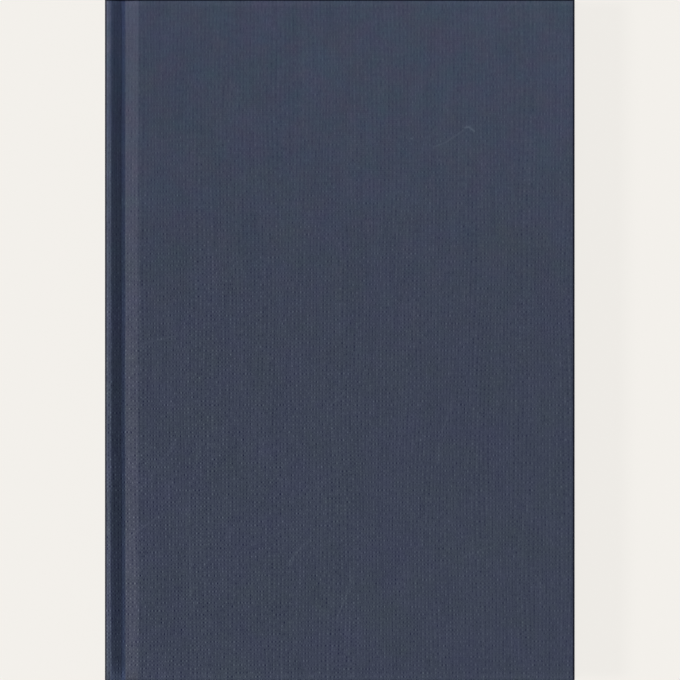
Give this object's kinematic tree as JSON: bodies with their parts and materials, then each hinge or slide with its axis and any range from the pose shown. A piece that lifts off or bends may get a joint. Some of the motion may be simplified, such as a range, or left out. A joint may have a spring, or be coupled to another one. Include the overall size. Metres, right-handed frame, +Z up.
{
  "type": "blank book",
  "caption": "Casebound blank book in plain cloth: square spine, pressed grooves, stiff boards, sewn leaves; both covers open.",
  "frame": {"origin": "middle of the back cover's outer face, on which the book lies", "axes": "+X from the spine to the fore edge, +Y to the head, +Z up through the front cover"},
  "size_m": [0.147, 0.213, 0.0175],
  "materials": {
    "book_cloth": "matte",
    "board": "matte",
    "leaves": "matte",
    "endpaper": "matte",
    "mull": "matte",
    "kraft": "matte",
    "band": "satin",
    "thread": "matte"
  },
  "bodies": {
    "block": {"page_block": "leaves", "front_endpaper": "endpaper", "back_endpaper": "endpaper", "mull": "mull", "spine_lining": "kraft", "head_band": "band", "tail_band": "band", "sewing_thread": "thread", "spine_board": "board", "spine_cloth": "book_cloth"},
    "front_cover": {"front_cloth": "book_cloth", "front_board": "board", "front_pastedown": "endpaper", "front_mull_wing": "mull"},
    "back_cover": {"back_cloth": "book_cloth", "back_board": "board", "back_pastedown": "endpaper", "back_mull_wing": "mull"}
  },
  "joints": [
    {"name": "front_hinge", "type": "hinge", "parent": "block", "child": "front_cover", "pos_m": [-0.06775, 0, 0.0178], "axis": [0, -1, 0], "range_deg": [0, 179.9]},
    {"name": "back_hinge", "type": "hinge", "parent": "block", "child": "back_cover", "pos_m": [-0.06775, 0, -0.0003], "axis": [0, 1, 0], "range_deg": [0, 179.9]}
  ]
}
